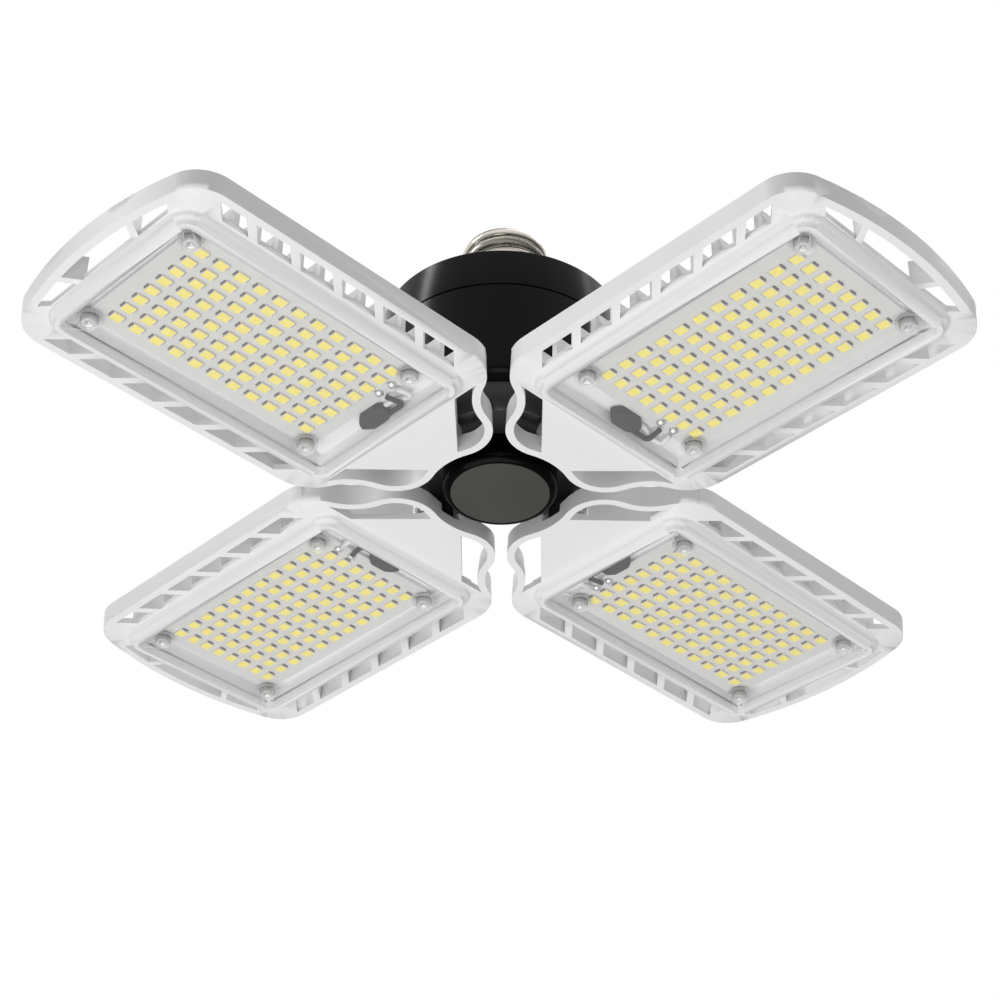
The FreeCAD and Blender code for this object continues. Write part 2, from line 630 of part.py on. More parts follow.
# ---------------------------------------------------------------- hub
def screw_shell():
    """Thin rolled shell with a round-crested thread."""
    top = SHELL_TOP_Z
    core = profile([(0, NECK_TOP_Z), (THREAD_ROOT_RADIUS, NECK_TOP_Z),
                    (THREAD_ROOT_RADIUS, top - 1.2), (SHELL_TOP_RADIUS, top), (0, top)])
    height = THREAD_PITCH * THREAD_TURNS
    helix = Part.makeHelix(THREAD_PITCH, height, THREAD_ROOT_RADIUS)
    helix.translate(Vector(0, 0, NECK_TOP_Z + 1.6))
    start = Vector(THREAD_ROOT_RADIUS, 0, NECK_TOP_Z + 1.6)
    rise = THREAD_CREST_RADIUS - THREAD_ROOT_RADIUS
    low = start + Vector(-0.5, 0, -1.3)
    high = start + Vector(-0.5, 0, 1.3)
    section = Part.Wire([Part.Arc(low, start + Vector(rise, 0, 0), high).toShape(),
                         Part.LineSegment(high, low).toShape()])
    ridge = Part.Wire(helix).makePipeShell([section], True, True)
    body = core.fuse(ridge)
    wide, narrow = THREAD_ROOT_RADIUS - SHELL_WALL - 0.6, INSULATOR_TOP_RADIUS + 1
    bore = profile([(0, NECK_TOP_Z - 1), (wide, NECK_TOP_Z - 1), (wide, top - 1.4),
                    (narrow, top - 1.4), (narrow, top + 1), (0, top + 1)])
    return solid_of(body.cut(bore))


def base_insulator():
    r, top = INSULATOR_TOP_RADIUS + 1, SHELL_TOP_Z
    return profile([(1.2, top - 1.4), (r, top - 1.4), (r, top), (SHELL_TOP_RADIUS - 0.4, top),
                    (SHELL_TOP_RADIUS - 0.8, top + 0.8), (INSULATOR_TOP_RADIUS, INSULATOR_TOP_Z),
                    (1.2, INSULATOR_TOP_Z)])


def centre_contact():
    """Riveted disc with a flat tip; the live lead comes up through its stem."""
    seat = INSULATOR_TOP_Z
    return profile([(0, SHELL_TOP_Z - 3), (1.2, SHELL_TOP_Z - 3), (1.2, seat), (CONTACT_RADIUS, seat),
                    (CONTACT_RADIUS, seat + 0.6), (CONTACT_FLAT_RADIUS, TIP_HEIGHT), (0, TIP_HEIGHT)])


def housing_cover():
    """Upper shell: rim band, shoulder and the neck that carries the screw shell."""
    r, w, edge = HOUSING_RADIUS, HOUSING_WALL, HOUSING_RIM_EDGE
    seam = SEAM_Z + SEAM_GROOVE / 2
    plug_top = NECK_TOP_Z + NECK_PLUG
    cover = profile([
        (r - w, seam), (r, seam), (r, HOUSING_RIM_Z - edge),
        (r - 0.3 * edge, HOUSING_RIM_Z - 0.3 * edge), (r - edge, HOUSING_RIM_Z),
        (24.0, SHOULDER_Z), (NECK_RADIUS, SHOULDER_Z + 1.6), (NECK_RADIUS, NECK_TOP_Z),
        (THREAD_ROOT_RADIUS - 1.0, NECK_TOP_Z), (THREAD_ROOT_RADIUS - 1.0, plug_top),
        (THREAD_ROOT_RADIUS - 2.6, plug_top), (THREAD_ROOT_RADIUS - 2.6, SHOULDER_Z),
        (23.4, SHOULDER_Z - 1.8), (r - w - 1.8, HOUSING_RIM_Z - 2.0), (r - w, HOUSING_RIM_Z - 3.6)])
    spigot = profile([(r - w - 1.4, seam - 3), (r - w - 0.1, seam - 3), (r - w - 0.1, seam + 0.5),
                      (r - w + 0.3, seam + 0.5), (r - w + 0.3, seam + 3), (r - w - 1.4, seam + 3)])
    return solid_of(cover.fuse(spigot))


def housing_body():
    """Lower cup round the driver, with its rounded lower edge."""
    r, w = HOUSING_RADIUS, HOUSING_WALL
    z0, seam = COLLAR_TOP_Z, SEAM_Z - SEAM_GROOVE / 2
    cup = Part.makeCylinder(r, seam - z0, Vector(0, 0, z0))
    low_edge = [e for e in cup.Edges if abs(e.BoundBox.ZMax - z0) < 1e-4 and e.Closed]
    cup = cup.makeFillet(HOUSING_EDGE, low_edge)
    cup = cup.cut(Part.makeCylinder(r - w, seam - z0, Vector(0, 0, z0 + HOUSING_FLOOR)))
    for angle in (0, 120, 240):
        a = math.radians(angle)
        x, y = 26.0 * math.cos(a), 26.0 * math.sin(a)
        cup = cup.fuse(rod(3.2, x, y, z0 + 1, DRIVER_BOARD_Z))
    for azimuth in PANEL_AZIMUTHS:
        a = math.radians(azimuth)
        cup = cup.cut(rod(2.4, FEED_X * math.cos(a), FEED_X * math.sin(a), z0 - 1, z0 + HOUSING_FLOOR + 1))
    for x, y in hub_screw_places():
        cup = cup.cut(rod(1.5, x, y, z0 - 1, z0 + HOUSING_FLOOR + 1))
    return solid_of(cup)


def hub_screw_places():
    return [(13.0 * math.cos(math.radians(a)), 13.0 * math.sin(math.radians(a))) for a in (90, 210, 330)]


def hinge_hub():
    """Tapered collar under the housing with one hinge ear for each panel."""
    z0, z1 = COLLAR_BOTTOM_Z, COLLAR_TOP_Z
    collar = profile([(0, z0), (COLLAR_BOTTOM_RADIUS, z0), (COLLAR_TOP_RADIUS, z1), (0, z1)])
    collar = collar.cut(profile([(17, z0 + COLLAR_WALL), (COLLAR_BOTTOM_RADIUS - 1.6, z0 + COLLAR_WALL),
                                 (COLLAR_TOP_RADIUS - 2.6, z1 + 1), (17, z1 + 1)]))
    reach, half = EAR_RADIUS, EAR_HALF_WIDTH
    ear = rod_y(reach, HINGE_X, HINGE_Z, -half, half)
    ear = ear.fuse(box(HINGE_X - reach, HINGE_X + reach, -half, half, HINGE_Z, EAR_TOP_Z))
    slot = box(COLLAR_BOTTOM_RADIUS - 2, COLLAR_TOP_RADIUS, -2.3, 1.7, FEED_Z - 0.9, FEED_Z + 0.9)
    for azimuth in PANEL_AZIMUTHS:
        turn = Placement(Vector(0, 0, 0), Rotation(Vector(0, 0, 1), azimuth))
        bore = rod_y(PIN_RADIUS, HINGE_X, HINGE_Z, -8, 8)
        one = ear.cut(bore)
        one.Placement = turn
        gap = slot.copy()
        gap.Placement = turn
        collar = collar.fuse(one).cut(gap)
    for x, y in hub_screw_places():
        collar = collar.cut(rod(1.2, x, y, z0 + 1.5, z1 + 1))
    collar = collar.cut(rod(1.5, 0, 0, z0 - 1, z1 + 1))
    return solid_of(collar)


def hub_screws():
    z = COLLAR_TOP_Z + HOUSING_FLOOR
    screws = [solid_of(rod(2.6, x, y, z, z + 1.8).fuse(rod(1.2, x, y, z - 6.2, z + 0.1)))
              for x, y in hub_screw_places()]
    return group(screws)


def bottom_cap():
    """Glossy cup that closes the hub from below, with its disc let in flush."""
    r, z0, z1 = CAP_RADIUS, CAP_FRONT_Z, COLLAR_BOTTOM_Z
    seat = CAP_FRONT_Z + CAP_DISC
    cup = Part.makeCylinder(r, z1 - z0, Vector(0, 0, z0))
    low_edge = [e for e in cup.Edges if abs(e.BoundBox.ZMax - z0) < 1e-4 and e.Closed]
    cup = cup.makeFillet(CAP_EDGE, low_edge)
    cup = cup.cut(rod(CAP_DISC_RADIUS + 0.05, 0, 0, z0 - 1, seat))
    cup = cup.cut(profile([(4.2, seat + CAP_WALL), (r - CAP_WALL, seat + CAP_WALL),
                           (r - CAP_WALL, z1 + 1), (4.2, z1 + 1)]))
    cup = cup.cut(rod(1.8, 0, 0, z0 - 1, z1 + 1))
    cup = cup.cut(rod(3.2, 0, 0, z0 - 1, seat + 1.6))
    return solid_of(cup)


def cap_disc():
    return rod(CAP_DISC_RADIUS, 0, 0, CAP_FRONT_Z, CAP_FRONT_Z + CAP_DISC)


def cap_screw():
    z0 = CAP_FRONT_Z + CAP_DISC
    return solid_of(rod(3.0, 0, 0, z0, z0 + 1.6).fuse(rod(1.5, 0, 0, z0 + 1.5, COLLAR_TOP_Z - 0.5)))


# ---------------------------------------------------------------- driver
def driver_board():
    board = rod(DRIVER_BOARD_RADIUS, 0, 0, DRIVER_BOARD_Z, DRIVER_BOARD_Z + DRIVER_BOARD)
    return solid_of(board.cut(rod(4.0, 0, 0, DRIVER_BOARD_Z - 1, DRIVER_BOARD_Z + 3)))


def driver_transformer():
    z = DRIVER_BOARD_Z + DRIVER_BOARD
    core = box(-22, 0 - 5, -10, 10, z, z + 15)
    window = box(-18.5, -8.5, -12, 12, z + 3, z + 12)
    coil = rod_y(5.4, -13.5, z + 7.5, -7, 7)
    return solid_of(core.cut(window).fuse(coil).fuse(box(-15, -12, -7, 7, z, z + 3)))


def driver_capacitor():
    z = DRIVER_BOARD_Z + DRIVER_BOARD
    can = rod(6.3, 13, 8, z, z + 16)
    top = [e for e in can.Edges if e.Closed and abs(e.BoundBox.ZMin - (z + 16)) < 1e-4]
    return can.makeFillet(0.8, top)


def fuse_resistor():
    return Part.makeCylinder(2.2, 12, Vector(6, -12, DRIVER_BOARD_Z + DRIVER_BOARD + 2.2), Vector(1, 0, 0))


def bridge_rectifier():
    z = DRIVER_BOARD_Z + DRIVER_BOARD
    return box(4, 12, -22, -17, z, z + 3)


def film_capacitor():
    z = DRIVER_BOARD_Z + DRIVER_BOARD
    block = box(-6, 2, 15, 21, z, z + 9)
    return block.makeFillet(0.8, [e for e in block.Edges if e.BoundBox.ZLength > 8])


def control_chip():
    z = DRIVER_BOARD_Z + DRIVER_BOARD
    return box(16, 21, -6, 0, z, z + 1.6)


def mains_leads():
    z = DRIVER_BOARD_Z + DRIVER_BOARD
    live = tube([(0, 10, z), (0, 10, z + 14), (0, 0, z + 30), (0, 0, SHELL_TOP_Z - 3)], LEAD_RADIUS, 6.0)
    neutral = tube([(5, 12, z), (5, 12, z + 12), (7.0, 3.4, z + 28), (7.0, 3.4, NECK_TOP_Z + 7)],
                   LEAD_RADIUS, 6.0)
    return group([live, neutral])


def feed_leads():
    """One pair of leads from the driver board down through the hub to each panel."""
    wires = []
    for azimuth in PANEL_AZIMUTHS:
        turn = Placement(Vector(0, 0, 0), Rotation(Vector(0, 0, 1), azimuth))
        for entry_x, y in LEAD_ENTRY:
            wire = tube([(FEED_X, y, DRIVER_BOARD_Z), (FEED_X, y, FEED_Z), (LEAD_END_X, y, FEED_Z),
                         (LEAD_END_X, y, COLLAR_BOTTOM_Z - 0.5)], LEAD_RADIUS, 1.4)
            wire.Placement = turn
            wires.append(wire)
    return group(wires)


# ---------------------------------------------------------------- assembly
def export(name, shape, azimuth=0.0):
    """Turn a piece to its azimuth, lower it to the lamp's origin and write it."""
    placed = shape.copy()
    placed.rotate(Vector(0, 0, 0), Vector(0, 0, 1), azimuth)
    placed.translate(Vector(0, 0, -TIP_HEIGHT))
    bad = not placed.isValid()
    if bad or not placed.Solids:
        print("check this piece:", name, "valid" if not bad else "invalid", len(placed.Solids))
    placed.exportStep("parts/%s.step" % name)


def at_each_hinge(shape):
    """A copy of the shape at every panel's azimuth, as separate solids of one group."""
    solids = []
    for azimuth in PANEL_AZIMUTHS:
        copy = shape.copy()
        copy.rotate(Vector(0, 0, 0), Vector(0, 0, 1), azimuth)
        solids += copy.Solids
    return group(solids)


HUB_PIECES = {
    "screw_shell": screw_shell,
    "base_insulator": base_insulator,
    "centre_contact": centre_contact,
    "housing_cover": housing_cover,
    "housing_body": housing_body,
    "driver_board": driver_board,
    "driver_transformer": driver_transformer,
    "driver_capacitor": driver_capacitor,
    "fuse_resistor": fuse_resistor,
    "bridge_rectifier": bridge_rectifier,
    "film_capacitor": film_capacitor,
    "control_chip": control_chip,
    "mains_leads": mains_leads,
    "hinge_hub": hinge_hub,
    "hub_screws": hub_screws,
    "hinge_screws": lambda: at_each_hinge(hinge_screw()),
    "hinge_nuts": lambda: at_each_hinge(hinge_nut()),
    "hinge_washers": lambda: at_each_hinge(hinge_washers()),
    "feed_leads": feed_leads,
    "bottom_cap": bottom_cap,
    "cap_disc": cap_disc,
    "cap_screw": cap_screw,
}

PANEL_PIECES = {
    "panel_frame": panel_frame,
    "led_board": led_board,
    "led_chips": led_chips,
    "lens": lens,
    "lens_screws": lens_screws,
    "solder_joints": solder_joints,
    "lead_black": lambda: lead_wires()[0],
    "lead_white": lambda: lead_wires()[1],
    "lead_sleeve": lead_sleeve,
}

for piece, make in HUB_PIECES.items():
    export(piece, make())

for piece, make in PANEL_PIECES.items():
    made = make()
    for number, azimuth in enumerate(PANEL_AZIMUTHS, start=1):
        export("%s_%d" % (piece, number), made, azimuth)
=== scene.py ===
"""Looks of a screw-in garage light: a black driver hub and four white LED panels.

Everything is in metres, in the lamp's own frame: the origin is the flat tip of the centre
contact and the lamp hangs below it. A panel is modelled lying along +X, with heights measured
from the plane of its LED windows, and is then turned to its place and lowered.
"""

import json
import logging
import math
from dataclasses import dataclass, field
from enum import Enum
from typing import Callable, ClassVar, Iterable, Sequence

import bpy
import bmesh
from mathutils import Matrix, Vector


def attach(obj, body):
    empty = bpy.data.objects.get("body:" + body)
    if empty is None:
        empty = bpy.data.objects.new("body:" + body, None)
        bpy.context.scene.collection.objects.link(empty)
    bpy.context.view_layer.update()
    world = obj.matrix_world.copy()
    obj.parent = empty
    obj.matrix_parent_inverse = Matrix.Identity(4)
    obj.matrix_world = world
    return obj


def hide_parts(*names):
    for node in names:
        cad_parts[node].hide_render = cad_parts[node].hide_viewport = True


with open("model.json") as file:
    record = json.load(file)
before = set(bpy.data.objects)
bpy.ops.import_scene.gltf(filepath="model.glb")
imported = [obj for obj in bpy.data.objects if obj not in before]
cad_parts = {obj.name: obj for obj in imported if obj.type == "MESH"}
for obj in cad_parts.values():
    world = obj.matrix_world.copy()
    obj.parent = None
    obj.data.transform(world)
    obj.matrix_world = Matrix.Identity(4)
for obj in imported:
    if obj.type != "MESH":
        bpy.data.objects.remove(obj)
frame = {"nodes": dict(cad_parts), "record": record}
log = logging.getLogger("garage_light")

Colour = tuple[float, float, float]
Point = tuple[float, float, float]
RingPoint = tuple[float, float]     # (radius, height)

MM = 0.001
TIP_HEIGHT = 97.8 * MM          # plane of the LED windows to the tip of the contact
PANEL_AZIMUTHS = (45.0, 135.0, 225.0, 315.0)
FACING = 0.9                    # how nearly a normal points along an axis to count as facing it


# ------------------------------------------------------------------ finishes
class Pattern(Enum):
    """How a finish varies over its surface."""

    MOTTLE = "mottle"
    # Brushed bumps, with the colour darkened in rings round the axis: painted reflection bands.
    BRUSHED = "brushed"
    ORANGE_PEEL = "orange peel"


@dataclass(frozen=True)
class Finish:
    """A surface finish, built as a node material on Object coordinates."""

    name: str
    colour: Colour
    roughness: float
    metallic: float = 0.0
    specular: float = 0.5
    pattern: Pattern = Pattern.MOTTLE
    variation: float = 0.04         # share by which the colour darkens in places
    patch: float = 0.012            # size of those places
    relief: float = 0.0             # bump height
    grain: float = 0.0006           # size of the bumps
    alpha: float = 1.0

    RAMP: ClassVar[tuple[float, float]] = (0.35, 0.65)          # noise where the colour turns
    # DRAWN also draws the shell's painted reflection bands into rings round the axis.
    DRAWN: ClassVar[Point] = (0.15, 0.15, 4.0)                  # stretch of a brushed pattern
    ROUGH_SPREAD: ClassVar[tuple[float, float]] = (0.9, 1.1)
    ROUGH_PATCH: ClassVar[float] = 0.7                          # as a share of the colour's patch
    FINE_DETAIL: ClassVar[float] = 4.0
    SOFT_DETAIL: ClassVar[float] = 1.0

    def build(self) -> bpy.types.Material:
        """Make the material, or return it if it was made before.

        Returns:
            The node material.
        """
        made = bpy.data.materials.get(self.name)
        if made is not None:
            return made
        material = bpy.data.materials.new(self.name)
        material.use_nodes = True
        tree = material.node_tree
        shader = tree.nodes["Principled BSDF"]
        shader.inputs["Metallic"].default_value = self.metallic
        shader.inputs["Specular IOR Level"].default_value = self.specular
        shader.inputs["Alpha"].default_value = self.alpha
        place = tree.nodes.new("ShaderNodeTexCoord").outputs["Object"]
        self._colour_nodes(tree, shader, place)
        self._roughness_nodes(tree, shader, place)
        if self.relief > 0:
            self._relief_nodes(tree, shader, place)
        return material

    def _noise(self, tree: bpy.types.NodeTree, place: bpy.types.NodeSocket, size: float,
               detail: float = 3.0) -> bpy.types.NodeSocket:
        """Add a noise texture.

        Args:
            tree: The material's node tree.
            place: Coordinates to read.
            size: Size of its features in metres.
            detail: Octaves of detail.

        Returns:
            The noise's factor output.
        """
        noise = tree.nodes.new("ShaderNodeTexNoise")
        noise.inputs["Scale"].default_value = 1.0 / size
        noise.inputs["Detail"].default_value = detail
        tree.links.new(place, noise.inputs["Vector"])
        return noise.outputs["Fac"]

    def _colour_nodes(self, tree: bpy.types.NodeTree, shader: bpy.types.Node,
                      place: bpy.types.NodeSocket) -> None:
        """Let the base colour darken in soft places, at random, or in rings as painted reflection
        bands.
        """
        ramp = tree.nodes.new("ShaderNodeValToRGB")
        low = tuple(c * (1.0 - self.variation) for c in self.colour)
        for stop, position, colour in zip(ramp.color_ramp.elements, self.RAMP, (low, self.colour)):
            stop.position = position
            stop.color = (*colour, 1.0)
        # On the banded pattern the darker places become rings round the axis: painted reflection
        # bands.
        along = self._drawn_out(tree, place)
        tree.links.new(self._noise(tree, along, self.patch), ramp.inputs["Fac"])
        tree.links.new(ramp.outputs["Color"], shader.inputs["Base Color"])

    def _drawn_out(self, tree: bpy.types.NodeTree,
                   place: bpy.types.NodeSocket) -> bpy.types.NodeSocket:
        """Coordinates drawn out round the axis for the brushed finish with painted reflection
        bands, unchanged for any other.
        """
        if self.pattern is not Pattern.BRUSHED:
            return place
        stretch = tree.nodes.new("ShaderNodeMapping")
        stretch.inputs["Scale"].default_value = self.DRAWN
        tree.links.new(place, stretch.inputs["Vector"])
        return stretch.outputs["Vector"]

    def _roughness_nodes(self, tree: bpy.types.NodeTree, shader: bpy.types.Node,
                         place: bpy.types.NodeSocket) -> None:
        """Vary the roughness by a tenth up and down."""
        spread = tree.nodes.new("ShaderNodeMapRange")
        spread.inputs["To Min"].default_value = self.roughness * self.ROUGH_SPREAD[0]
        spread.inputs["To Max"].default_value = self.roughness * self.ROUGH_SPREAD[1]
        patches = self._noise(tree, place, self.patch * self.ROUGH_PATCH)
        tree.links.new(patches, spread.inputs["Value"])
        tree.links.new(spread.outputs["Result"], shader.inputs["Roughness"])

    def _relief_nodes(self, tree: bpy.types.NodeTree, shader: bpy.types.Node,
                      place: bpy.types.NodeSocket) -> None:
        """Raise the surface in the finish's own grain."""
        bump = tree.nodes.new("ShaderNodeBump")
        bump.inputs["Strength"].default_value = 1.0
        bump.inputs["Distance"].default_value = self.relief
        source = self._drawn_out(tree, place)
        detail = self.SOFT_DETAIL if self.pattern is Pattern.ORANGE_PEEL else self.FINE_DETAIL
        tree.links.new(self._noise(tree, source, self.grain, detail), bump.inputs["Height"])
        tree.links.new(bump.outputs["Normal"], shader.inputs["Normal"])


WHITE_CASTING = Finish("white powder coat", (0.80, 0.80, 0.805), 0.42, pattern=Pattern.ORANGE_PEEL,
                       variation=0.015, relief=0.000004, grain=0.0007)
LENS_CLEAR = Finish("clear lens", (0.80, 0.81, 0.82), 0.08, variation=0.005, alpha=0.07)
LENS_BOSS = Finish("lens boss", (0.80, 0.81, 0.81), 0.12, variation=0.02, alpha=0.5)
BOARD_WHITE = Finish("white solder mask", (0.69, 0.69, 0.675), 0.4, variation=0.03, patch=0.006)
LED_BODY = Finish("led body", (0.86, 0.80, 0.72), 0.4, variation=0.02)
LED_PHOSPHOR = Finish("led phosphor", (1.0, 0.87, 0.20), 0.45, variation=0.04, patch=0.0012)
# Real terminals, but their dark colour is painted shade: the shade at the ends of the packages.
LED_TERMINAL_PAINTED_SHADE = Finish("led terminal painted shade", (0.16, 0.15, 0.14), 0.4, metallic=0.3)
SOLDER = Finish("solder", (0.80, 0.80, 0.80), 0.2, metallic=1.0)
SCREW_ZINC = Finish("bright zinc", (0.72, 0.72, 0.70), 0.32, metallic=0.8)
LENS_SCREW = Finish("lens screw", (0.72, 0.72, 0.71), 0.42, metallic=0.35)
LEAD_BLACK = Finish("black lead", (0.02, 0.02, 0.018), 0.45, specular=0.3)
LEAD_WHITE = Finish("white lead", (0.8, 0.8, 0.79), 0.4)
SLEEVE_DARK = Finish("shrunk sleeve", (0.028, 0.029, 0.025), 0.5, specular=0.3, variation=0.1,
                     relief=0.00002, grain=0.002)
HOUSING_BLACK = Finish("black housing", (0.0035, 0.0035, 0.003), 0.2, specular=0.08,
                       variation=0.2, relief=0.000001, grain=0.001)
COLLAR_BLACK = Finish("black collar", (0.013, 0.013, 0.012), 0.3, specular=0.45, variation=0.2)
CAP_BLACK = Finish("black cap", (0.0015, 0.0015, 0.0014), 0.1, specular=0.06, variation=0.2)
CAP_OLIVE = Finish("olive disc", (0.052, 0.053, 0.046), 0.6, specular=0.3, variation=0.06,
                   relief=0.000004)
# The shell's colour darkens by up to 85 % in rings round the axis: painted reflection bands, not a
# tone of the metal.
SHELL_NICKEL_PAINTED_BANDS = Finish("nickelled shell with painted bands", (0.66, 0.62, 0.55), 0.14, metallic=1.0,
                      pattern=Pattern.BRUSHED, variation=0.85, patch=0.0045, relief=0.000004,
                      grain=0.0008)
CONTACT_TIN = Finish("tinned contact", (0.7, 0.69, 0.66), 0.3, metallic=1.0)
INSULATOR_BLACK = Finish("base insulator", (0.02, 0.02, 0.02), 0.15)
BOARD_GREEN = Finish("driver board", (0.03, 0.16, 0.06), 0.4)
CORE_FERRITE = Finish("ferrite", (0.05, 0.045, 0.04), 0.6)
CAN_BLACK = Finish("capacitor can", (0.02, 0.02, 0.03), 0.35)
CERAMIC = Finish("ceramic", (0.5, 0.38, 0.22), 0.5)
EPOXY_YELLOW = Finish("epoxy block", (0.6, 0.42, 0.05), 0.35)
PACKAGE_BLACK = Finish("component package", (0.02, 0.02, 0.02), 0.5)
PALE_FLOOR = Finish("pale floor", (0.8, 0.8, 0.8), 0.8, variation=0.01)

CAD_FINISHES: dict[str, Finish] = {
    "panel_frame": WHITE_CASTING, "lens": LENS_CLEAR, "led_board": BOARD_WHITE,
    "led_chips": LED_BODY, "lens_screws": LENS_SCREW, "solder_joints": SOLDER,
    "lead_black": LEAD_BLACK, "lead_white": LEAD_WHITE, "lead_sleeve": SLEEVE_DARK,
    "screw_shell": SHELL_NICKEL_PAINTED_BANDS, "base_insulator": INSULATOR_BLACK,
    "centre_contact": CONTACT_TIN, "housing_cover": HOUSING_BLACK, "housing_body": HOUSING_BLACK,
    "driver_board": BOARD_GREEN, "driver_transformer": CORE_FERRITE, "driver_capacitor": CAN_BLACK,
    "fuse_resistor": CERAMIC, "bridge_rectifier": PACKAGE_BLACK, "film_capacitor": EPOXY_YELLOW,
    "control_chip": PACKAGE_BLACK, "mains_leads": LEAD_BLACK, "hinge_hub": COLLAR_BLACK,
    "hub_screws": SCREW_ZINC, "hinge_screws": SCREW_ZINC, "hinge_nuts": SCREW_ZINC,
    "hinge_washers": SCREW_ZINC, "feed_leads": LEAD_BLACK, "bottom_cap": CAP_BLACK,
    "cap_disc": CAP_OLIVE, "cap_screw": SCREW_ZINC,
}


# ------------------------------------------------------------------ modelling by hand
class Bench:
    """The few hand operations that the pieces share."""

    @staticmethod
    def clear() -> None:
        """Leave edit mode and deselect everything."""
        if bpy.context.mode != "OBJECT":
            bpy.ops.object.mode_set(mode="OBJECT")
        bpy.ops.object.select_all(action="DESELECT")

    @staticmethod
    def named(name: str) -> bpy.types.Object:
        """Name the active object and its mesh."""
        piece = bpy.context.active_object
        piece.name = name
        piece.data.name = name
        return piece

    @staticmethod
    def edit(piece: bpy.types.Object, kind: str = "FACE") -> None:
        """Enter edit mode on one piece with nothing selected.

        Args:
            piece: The piece to edit.
            kind: VERT, EDGE or FACE.
        """
        Bench.clear()
        piece.select_set(True)
        bpy.context.view_layer.objects.active = piece
        bpy.ops.object.mode_set(mode="EDIT")
        bpy.ops.mesh.select_mode(type=kind)
        bpy.ops.mesh.select_all(action="DESELECT")

    @staticmethod
    def pick_faces(piece: bpy.types.Object, test: Callable[[bmesh.types.BMFace], bool]) -> None:
        """Select the faces that pass a test, in edit mode.

        Args:
            piece: The piece in edit mode.
            test: Says whether a face is wanted.
        """
        work = bmesh.from_edit_mesh(piece.data)
        for face in work.faces:
            face.select_set(test(face))
        bmesh.update_edit_mesh(piece.data)

    @staticmethod
    def pick_corners(piece: bpy.types.Object, test: Callable[[Vector], bool]) -> None:
        """Select the vertices whose place passes a test, in edit mode."""
        work = bmesh.from_edit_mesh(piece.data)
        for corner in work.verts:
            corner.select_set(test(corner.co))
        work.select_flush(True)
        bmesh.update_edit_mesh(piece.data)

    @staticmethod
    def settle(piece: bpy.types.Object) -> None:
        """Put the piece's place into its mesh, so the object sits at the origin."""
        Bench.clear()
        piece.select_set(True)
        bpy.context.view_layer.objects.active = piece
        bpy.ops.object.transform_apply(location=True, rotation=True, scale=True)

    @staticmethod
    def smooth(piece: bpy.types.Object, degrees: float) -> None:
        """Shade smooth, with edges sharper than an angle kept sharp."""
        Bench.clear()
        piece.select_set(True)
        bpy.context.view_layer.objects.active = piece
        bpy.ops.object.shade_smooth_by_angle(angle=math.radians(degrees))

    @staticmethod
    def weigh_normals(piece: bpy.types.Object) -> None:
        """Let large flat faces lead the shading, so that round corners don't smear over them."""
        Bench.clear()
        piece.select_set(True)
        bpy.context.view_layer.objects.active = piece
        weigh = piece.modifiers.new("flat faces lead", "WEIGHTED_NORMAL")
        weigh.mode = "FACE_AREA"
        weigh.weight = 100
        weigh.keep_sharp = True
        bpy.ops.object.modifier_apply(modifier=weigh.name)

    @staticmethod
    def copy(piece: bpy.types.Object, name: str, matrix: Matrix) -> bpy.types.Object:
        """Copy a piece with its own mesh, moved by a matrix.

        Args:
            piece: The piece to copy.
            name: The copy's name.
            matrix: Where the copy goes.

        Returns:
            The copy, settled at the origin.
        """
        twin = piece.copy()
        twin.data = piece.data.copy()
        twin.name = name
        twin.data.name = name
        bpy.context.collection.objects.link(twin)
        twin.data.transform(matrix)
        return twin

    @staticmethod
    def join(pieces: Sequence[bpy.types.Object], name: str) -> bpy.types.Object:
        """Join pieces into the first one."""
        Bench.clear()
        for piece in pieces:
            piece.select_set(True)
        bpy.context.view_layer.objects.active = pieces[0]
        bpy.ops.object.join()
        return Bench.named(name)

    @staticmethod
    def turned(name: str, profile: Sequence[RingPoint], sides: int = 128) -> bpy.types.Object:
        """Turn a closed profile about the lamp's axis: a circle, extruded and resized ring by ring.

        Args:
            name: The piece's name.
            profile: (radius, height) of each ring, in order round the closed section.
            sides: Vertices of each ring.

        Returns:
            The piece, closed and facing outwards.
        """
        Bench.clear()
        radius, height = profile[0]
        bpy.ops.mesh.primitive_circle_add(vertices=sides, radius=radius, location=(0, 0, height))
        piece = Bench.named(name)
        Bench.settle(piece)
        Bench.edit(piece, "EDGE")
        bpy.ops.mesh.select_all(action="SELECT")
        for next_radius, next_height in list(profile[1:]) + [profile[0]]:
            rise = (0, 0, next_height - height)
            bpy.ops.mesh.extrude_region_move(TRANSFORM_OT_translate={"value": rise})
            share = next_radius / radius
            bpy.ops.transform.resize(value=(share, share, 1.0))
            radius, height = next_radius, next_height
        bpy.ops.mesh.select_all(action="SELECT")
        bpy.ops.mesh.remove_doubles(threshold=1e-7)
        bpy.ops.mesh.normals_make_consistent(inside=False)
        Bench.clear()
        return piece


def rounded(corner: RingPoint, start: float, end: float, radius: float,
            steps: int = 6) -> list[RingPoint]:
    """Points of an arc in a profile.

    Args:
        corner: Centre of the arc as (radius, height).
        start: First angle in degrees, 0 along +radius.
        end: Last angle in degrees.
        radius: The arc's radius.
        steps: Number of chords.

    Returns:
        The (radius, height) points.
    """
    points = []
    for i in range(steps + 1):
        angle = math.radians(start + (end - start) * i / steps)
        points.append((corner[0] + radius * math.cos(angle), corner[1] + radius * math.sin(angle)))
    return points


def section(points: Iterable[RingPoint]) -> list[RingPoint]:
    """A profile in millimetres, with heights from the LED plane, in the lamp's own metres."""
    return [(radius * MM, height * MM - TIP_HEIGHT) for radius, height in points]


def panel_matrix(azimuth: float) -> Matrix:
    """Place of a panel that was modelled lying along +X."""
    return Matrix.Translation((0, 0, -TIP_HEIGHT)) @ Matrix.Rotation(math.radians(azimuth), 4, "Z")


